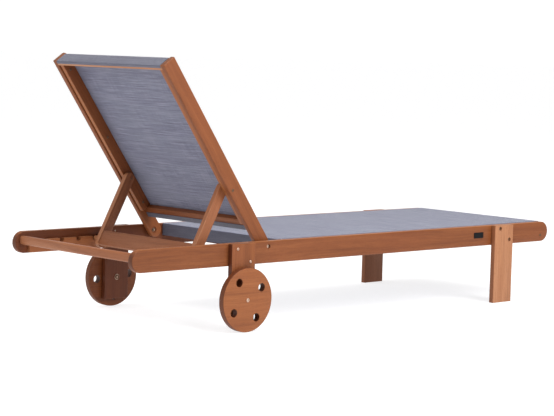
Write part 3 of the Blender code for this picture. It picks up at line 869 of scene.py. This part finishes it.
def shade_wheel(mesh, middle, radius):
    """Painted shade: the rim and the hole walls are darker than the faces."""
    tones = mesh.attributes["tone"].data
    for face, item in zip(mesh.polygons, tones):
        if abs(face.normal.x) > END_FACING:
            continue
        reach = math.hypot(face.center.y - middle.y, face.center.z - middle.z)
        item.value *= WHEEL_RIM_SHADE if reach > radius * 0.95 else WHEEL_HOLE_SHADE


# ---------------------------------------------------------------- backrest and prop

def build_stile(side_name, side):
    outer_low, outer_high = extent(f"back_outer_board_{side_name}", BACK)
    prop_y, prop_z = centre(f"prop_bolt_{side_name}", BACK)
    span = side_span(side, *STILE_SPAN)
    through = [(0.0, 0.0, BORE_RADIUS, *span), (prop_y, prop_z, BORE_RADIUS, *span)]
    inner_face = abs((outer_low if side > 0 else outer_high).x)
    recess_span = side_span(side, STILE_SPAN[0], inner_face + NUT_RECESS_DEPTH)
    recess = (0.0, 0.0, NUT_RECESS_RADIUS, *recess_span)
    depth = outer_high.z - outer_low.z
    board(
        f"back_outer_board_{side_name}", "backrest", BACK, tone=TONES["stile"], edge=STILE_EDGE,
        bores=[recess] + through, corner=depth * STILE_ROUND, corner_at=lambda y, z: y < 0,
        corner_segments=16,
    )
    screws = []
    for row in ("upper", "middle", "lower"):
        y, z = centre(f"batten_screw_{row}_{side_name}", BACK)
        screws.append((y, z, SCREW_BORE_RADIUS, *span))
    low, high = extent(f"back_inner_batten_{side_name}", BACK)
    face = abs(low.x if side > 0 else high.x)
    flat_low, flat_high = side_span(side, face, BATTEN_OUTER)
    batten_low = Vector((flat_low, low.y, low.z))
    batten_high = Vector((flat_high, high.y, high.z))
    obj = board_mesh(f"back_inner_batten_{side_name}", batten_low, batten_high)
    tongue_x = side_span(side, BATTEN_OUTER - TONGUE_LAP, inner_face - GAP)
    tongue_low = Vector((tongue_x[0], TONGUE_START, TONGUE_REAR))
    tongue_high = Vector((tongue_x[1], high.y - TONGUE_END_GAP, TONGUE_FRONT))
    tongue = board_mesh("tongue", tongue_low, tongue_high, edge=THIN_EDGE)
    union = obj.modifiers.new("tongue", "BOOLEAN")
    union.object = tongue
    union.operation = "UNION"
    union.solver = "EXACT"
    apply_modifiers(obj)
    bpy.data.objects.remove(tongue)
    cut(obj, [tube_cutter(r, y, z, a, b) for y, z, r, a, b in through[1:] + screws])
    # painted light on the batten's rear face
    shades = [(DOWNWARD, BATTEN_REAR_PAINTED_LIGHT)]
    dress(obj.data, (low + high) / 2, (high - low) / 2, 1, TONES["batten"], shades)
    place(obj, BACK, TIMBER, "timber", "backrest", [f"back_inner_batten_{side_name}"])

    for row in ("upper", "middle", "lower"):
        node = f"batten_screw_{row}_{side_name}"
        y, z = centre(node, BACK)
        screw_low, screw_high = extent(node, BACK)
        tip = max(abs(screw_low.x), abs(screw_high.x))
        head = head_radius(node, BACK)
        profile, hexes = button_head(-face, -tip, SCREW_SHANK, head, SCREW_HEAD_HEIGHT)
        turned(node, profile, y, z, side, BACK, "backrest", DARK_STEEL, replaced=[node], hexes=hexes)
    outer_face = abs(outer_high.x if side > 0 else outer_low.x)
    bolt(
        f"prop_bolt_{side_name}", "backrest", BACK, side, outer_face,
        BOLT_SHANK, LOW_HEAD_HEIGHT, DARK_STEEL,
    )


def build_back_bars():
    board(
        "back_top_bar", "backrest", BACK, axis=0, tone=TONES["back_top_bar"], material=PALE_TIMBER,
        # painted light on the bar's rear face
        slot="timber_light", edge=FINE_EDGE, shades=[(DOWNWARD, TOP_BAR_REAR_PAINTED_LIGHT)],
    )
    board("back_bottom_bar", "backrest", BACK, axis=0, tone=TONES["back_bottom_bar"])


def build_prop():
    for side_name, side in SIDES.items():
        low, high = extent(f"prop_leg_{side_name}", PROP)
        span = side_span(side, *PROP_SPAN)
        peg_y, peg_z = centre(f"prop_peg_{side_name}", PROP)
        peg_low, peg_high = extent(f"prop_peg_{side_name}", PROP)
        start, end = sorted((abs(peg_low.x), abs(peg_high.x)))
        peg = (peg_y, peg_z, PEG_BORE_RADIUS, *side_span(side, start - GAP, PROP_SPAN[1]))
        board(
            f"prop_leg_{side_name}", "prop", PROP, tone=TONES["prop_leg"], material=PAINTED_SHEEN_TIMBER,
            bores=[(0.0, 0.0, BORE_RADIUS, *span), peg],
            corner=(high.z - low.z) * PROP_ROUND, corner_at=lambda y, z: True, corner_segments=14,
            # painted light on the rear face, painted shade on the inner face
            shades=[(UPWARD, PROP_REAR_PAINTED_LIGHT), (Vector((-side, 0, 0)), PROP_INNER_SHADE)],
        )
        radius = (peg_high.y - peg_low.y) / 2
        profile = [
            (end, 0), (end, radius * 0.80), (end - 0.0006, radius * 0.93),
            (end - 0.0016, radius), (start, radius), (start, 0),
        ]
        obj = turned(
            f"prop_peg_{side_name}", profile, peg_y, peg_z, side, PROP, "prop",
            PALE_TIMBER, "timber_light", replaced=[f"prop_peg_{side_name}"],
        )
        add_peg_grain(obj.data, (0, peg_y, peg_z))
    board("prop_board", "prop", PROP, axis=0, tone=TONES["prop_board"], material=PAINTED_SHEEN_TIMBER)


def add_peg_grain(mesh, middle):
    """The attributes that the timber reads, for a peg; its local points are there already."""
    inverse = PROP.inverted()
    local = np.array([inverse @ v.co for v in mesh.vertices]) - np.array(middle)
    count = len(mesh.vertices)
    set_attribute(mesh, "half", "FLOAT_VECTOR", "POINT", np.tile((1.0, 1.0, 1.0), (count, 1)))
    set_attribute(mesh, "grain", "FLOAT_VECTOR", "POINT", local[:, (1, 0, 2)] + 3)
    set_attribute(mesh, "tone", "FLOAT", "POINT", np.ones(count))
    ends = [abs(face.normal.x) > END_FACING for face in mesh.polygons]
    set_attribute(mesh, "endgrain", "FLOAT", "FACE", ends)


# ---------------------------------------------------------------- slings

def rounded_path(points, radius, step):
    """Points along a folded path in (y, z), with round folds and even spacing."""
    path = [Vector(points[0])]
    for before, corner, after in zip(points, points[1:], points[2:]):
        corner = Vector(corner)
        to_before = (Vector(before) - corner).normalized()
        to_after = (Vector(after) - corner).normalized()
        turn = to_before.angle(to_after)
        if turn > math.radians(175):
            path.append(corner)
            continue
        reach = radius / math.tan(turn / 2)
        heart = corner + (to_before + to_after).normalized() * (radius / math.sin(turn / 2))
        start = corner + to_before * reach - heart
        end = corner + to_after * reach - heart
        sweep = start.angle_signed(end)
        for number in range(7):
            angle = -sweep * number / 6
            path.append(heart + Vector((
                start.x * math.cos(angle) - start.y * math.sin(angle),
                start.x * math.sin(angle) + start.y * math.cos(angle),
            )))
    path.append(Vector(points[-1]))
    dense = [path[0]]
    for first, second in zip(path, path[1:]):
        parts = max(1, int((second - first).length / step))
        for number in range(1, parts + 1):
            dense.append(first.lerp(second, number / parts))
    return dense


def sling(name, path, half, space, body, droop, painted_shade, hem, step):
    """A thin sheet along the path in (y, z): it droops between its ends, and its long edges
    turn down between the hem's ends. A function of the point, given after droop, says how much
    painted shade darkens it there.
    Gives the piece and the path's length."""
    length = [0.0]
    for first, second in zip(path, path[1:]):
        length.append(length[-1] + (second - first).length)
    columns = int(2 * half / step)
    bm = bmesh.new()
    cloth = bm.verts.layers.float_vector.new("cloth")
    rows = []
    for point, along in zip(path, length):
        row = []
        for number in range(columns + 1):
            across = 2 * number / columns - 1
            drop = droop(point, across)
            vert = bm.verts.new((across * half, point.x + drop.x, point.y + drop.y))
            vert[cloth] = (across * half, along, painted_shade(point))
            row.append(vert)
        rows.append(row)
    for first, second in zip(rows, rows[1:]):
        for number in range(columns):
            bm.faces.new((first[number], first[number + 1], second[number + 1], second[number]))
    add_hems(bm, cloth, rows, path, hem)
    bmesh.ops.recalc_face_normals(bm, faces=bm.faces)
    obj = object_from(bm, name)
    solid = obj.modifiers.new("thickness", "SOLIDIFY")
    solid.thickness = FABRIC_THICK
    solid.offset = 0
    apply_modifiers(obj)
    place(obj, space, FABRIC, "fabric", body, [name])
    return obj, length[-1]


def add_hems(bm, cloth, rows, path, hem):
    """Turn the sheet's long edges down by the hem's depth, between its two ends."""
    first_y, last_y, depth = hem
    inside = [
        index for index, point in enumerate(path)
        if first_y - HEM_SLACK <= point.x <= last_y + HEM_SLACK and point.y > 0
    ]
    for column in (0, -1):
        previous = None
        for index in inside:
            top = rows[index][column]
            lines = [top]
            for fold in (0.35, 1.0):
                vert = bm.verts.new(top.co - Vector((0, 0, depth * fold)))
                vert[cloth] = top[cloth] + Vector((math.copysign(depth * fold, top.co.x), 0, 0))
                lines.append(vert)
            if previous:
                for number in range(2):
                    after = number + 1
                    bm.faces.new((previous[number], previous[after], lines[after], lines[number]))
            previous = lines


def build_seat_sling():
    low, high = extent("seat_sling")
    half = (high.x - low.x) / 2 - SKIN
    front, rear, top = low.y + SKIN, high.y - SKIN, high.z - SKIN
    rear_rail_low = extent("seat_rear_rail")[0]
    hem_start, hem_end = extent("foot_cross_rail")[1].y + GAP, rear_rail_low.y - GAP
    points = [
        (front, low.z + SKIN), (front, top), (hem_start, top), (hem_end, top), (rear, top),
        (rear, rear_rail_low.z + SEAT_TUCK),
    ]
    path = rounded_path(points, SEAT_FOLD, SEAT_STEP)
    first, last = SEAT_TAUT

    def droop(point, across):
        share = (point.x - front) / (rear - front)
        if point.y < top - 0.0001 or not first < share < last:
            return Vector((0, 0))
        sag = math.sin(math.pi * (share - first) / (last - first))
        middle = 1 - abs(across) ** 3
        return Vector((0, -SEAT_DROOP * sag * (0.10 + 0.90 * middle)))

    # Painted shade on the wrap round the rear rail, under the backrest
    def painted_shade(point):
        return SEAT_WRAP_PAINTED_SHADE if point.x > rear - 0.001 and point.y < top - 0.001 else 0.0

    obj, length = sling(
        "seat_sling", path, half, WORLD, "frame", droop, painted_shade, (hem_start, hem_end, SEAT_HEM),
        SEAT_STEP,
    )


def build_back_sling():
    low, high = extent("back_sling", BACK)
    bar_low, bar_high = extent("back_bottom_bar", BACK)
    top_low = extent("back_top_bar", BACK)[0]
    half = (high.x - low.x) / 2 - SKIN
    front = high.z - SKIN
    top = high.y - SKIN
    rear = top_low.z - SKIN - GAP
    bottom = low.y + SKIN
    bottom_rear = bar_low.z - SKIN - GAP
    points = [
        (top - BACK_TOP_WRAP, rear), (top, rear), (top, front), (bottom, front),
        (bottom, bottom_rear), (bottom + BACK_BOTTOM_WRAP, bottom_rear),
    ]
    path = rounded_path(points, BACK_FOLD, BACK_STEP)
    hem_start, hem_end = bar_high.y + BACK_HEM_BELOW, top_low.y - BACK_HEM_ABOVE
    first, last = BACK_TAUT

    def droop(point, across):
        on_front = point.y > front - 0.0004
        share = (point.x - bottom) / (top - bottom)
        if not on_front or not first < share < last:
            return Vector((0, 0))
        sag = math.sin(math.pi * (share - first) / (last - first))
        return Vector((0, -BACK_DROOP * sag * (1 - abs(across) ** 2.5)))

    # Painted shade: a little on the sheet's face, more on the wraps round the top and bottom bars
    def painted_shade(point):
        if point.y > front - 0.001:
            return BACK_FACE_PAINTED_SHADE
        return BACK_TOP_PAINTED_SHADE if point.x > (bottom + top) / 2 else BACK_BOTTOM_PAINTED_SHADE

    obj, length = sling(
        "back_sling", path, half, BACK, "backrest", droop, painted_shade, (hem_start, hem_end, BACK_HEM),
        BACK_STEP,
    )


# ---------------------------------------------------------------- build

for name, sign in SIDES.items():
    build_frame(name, sign)
    build_wheel(name, sign)
    build_stile(name, sign)
build_cross_pieces()
build_back_bars()
build_prop()
build_seat_sling()
build_back_sling()


# ---------------------------------------------------------------- floor, light and camera

def build_floor():
    bm = bmesh.new()
    bmesh.ops.create_grid(bm, x_segments=1, y_segments=1, size=FLOOR_SIZE)
    floor = object_from(bm, "floor")
    tree = Tree("floor_paper")
    tree.finish(
        FLOOR_COLOUR, 0.9, Specular_IOR_Level=0.05,
        Emission_Color=(1, 1, 1, 1), Emission_Strength=FLOOR_GLOW,
    )
    floor.data.materials.append(tree.material)
    floor.location.z = -FLOOR_DROP


def build_world():
    """A studio: a white backdrop behind the foot end, soft fill from above the head end, and a
    dimmer surround."""
    world = bpy.data.worlds.new("studio")
    world.use_nodes = True
    nodes, links = world.node_tree.nodes, world.node_tree.links
    coordinates = nodes.new("ShaderNodeTexCoord")
    strengths = []
    for direction, near, far, strength in (BACKDROP, HEAD_FILL):
        dot = nodes.new("ShaderNodeVectorMath")
        dot.operation = "DOT_PRODUCT"
        links.new(coordinates.outputs["Generated"], dot.inputs[0])
        dot.inputs[1].default_value = Vector(direction).normalized()
        ramp = nodes.new("ShaderNodeMapRange")
        ramp.interpolation_type = "SMOOTHSTEP"
        links.new(dot.outputs["Value"], ramp.inputs["Value"])
        for name, value in (
            ("From Min", near), ("From Max", far), ("To Min", SURROUND), ("To Max", strength)
        ):
            ramp.inputs[name].default_value = value
        strengths.append(ramp.outputs[0])
    brighter = nodes.new("ShaderNodeMath")
    brighter.operation = "MAXIMUM"
    for socket, strength in zip(brighter.inputs, strengths):
        links.new(strength, socket)
    links.new(brighter.outputs[0], nodes["Background"].inputs["Strength"])
    nodes["Background"].inputs["Color"].default_value = (1, 1, 1, 1)
    bpy.context.scene.world = world


def area_light(name, place_at, target, size, power):
    light = bpy.data.lights.new(name, "AREA")
    light.shape = "DISK"
    light.size = size
    light.energy = power
    obj = bpy.data.objects.new(name, light)
    obj.location = place_at
    obj.rotation_euler = (Vector(target) - Vector(place_at)).to_track_quat("-Z", "Y").to_euler()
    bpy.context.scene.collection.objects.link(obj)


def build_camera():
    azimuth, elevation, roll = (math.radians(angle) for angle in CAMERA_TURN)
    back = Vector((
        math.sin(azimuth) * math.cos(elevation),
        -math.cos(azimuth) * math.cos(elevation),
        math.sin(elevation),
    ))
    right = Vector((-back.y, back.x, 0)).normalized()
    up = back.cross(right)
    rolled_right = right * math.cos(roll) + up * math.sin(roll)
    rolled_up = up * math.cos(roll) - right * math.sin(roll)
    axes = Matrix((rolled_right, rolled_up, back)).transposed()
    camera = bpy.data.cameras.new("camera")
    camera.lens = CAMERA_LENS
    camera.sensor_width = SENSOR_WIDTH
    camera.shift_x, camera.shift_y = CAMERA_SHIFT
    camera.clip_end = CLIP_END
    obj = bpy.data.objects.new("camera", camera)
    obj.matrix_world = Matrix.Translation(CAMERA_PLACE) @ axes.to_4x4()
    bpy.context.scene.collection.objects.link(obj)
    bpy.context.scene.camera = obj


build_floor()
area_light("key", KEY_PLACE, KEY_TARGET, KEY_SIZE, KEY_POWER)
area_light("top", TOP_PLACE, TOP_TARGET, TOP_SIZE, TOP_POWER)
build_camera()
build_world()
bpy.context.scene.view_settings.view_transform = "Standard"
